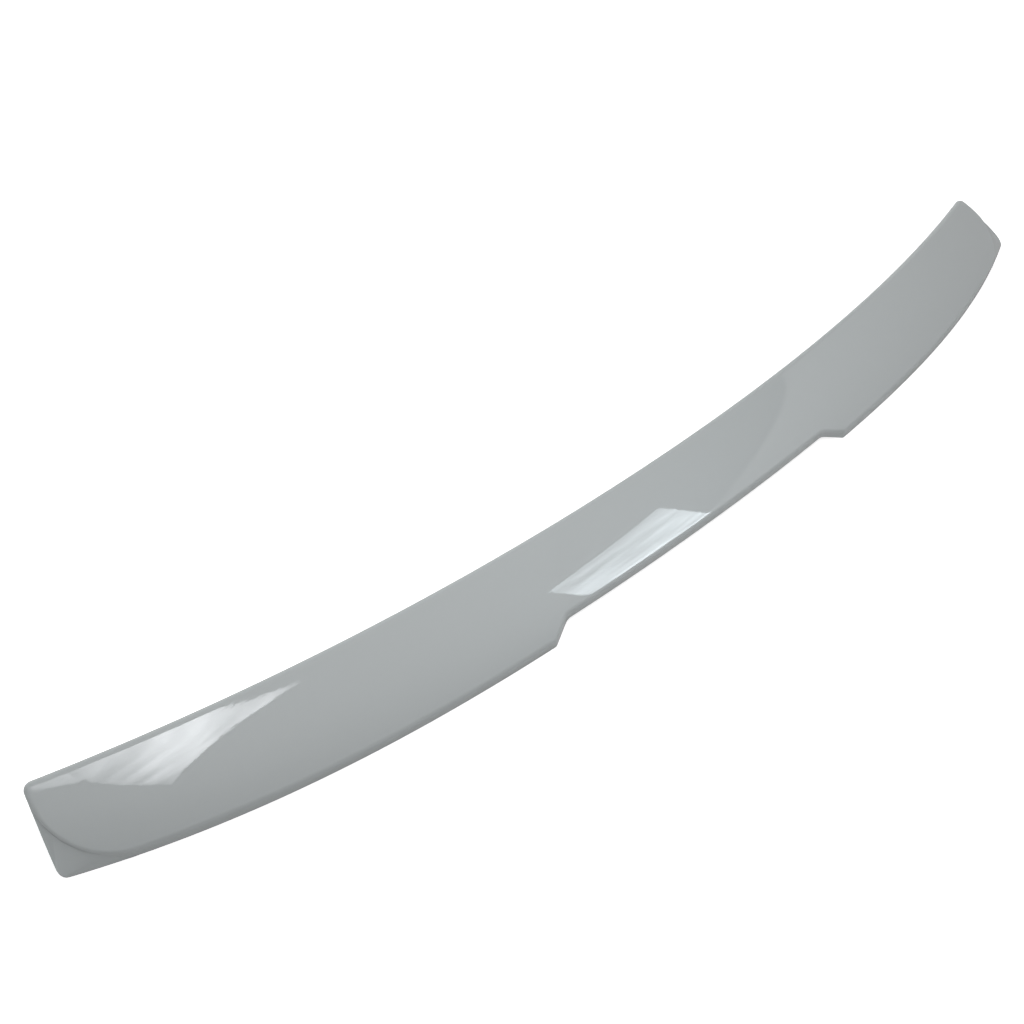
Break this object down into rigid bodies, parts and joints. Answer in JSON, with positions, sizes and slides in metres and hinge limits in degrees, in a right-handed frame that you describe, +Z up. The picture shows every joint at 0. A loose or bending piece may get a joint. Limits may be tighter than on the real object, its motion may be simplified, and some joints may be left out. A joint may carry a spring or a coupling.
{
  "type": "car rear spoiler",
  "caption": "One-piece rear spoiler for a saloon car's roof edge: a swept, gently crowned blade with rolled edges, squared corner tabs and a wide notch in its rear lip.",
  "frame": {"origin": "middle of the base, which is the level that the rear lip lies on", "axes": "+X across the car to its right, +Y to the front of the car, +Z up"},
  "size_m": [1.1698, 0.1426, 0.0372],
  "materials": {
    "painted_shell": "gloss pale grey paint over moulded plastic"
  },
  "bodies": {
    "root": {"spoiler_shell": "painted_shell"}
  },
  "joints": []
}
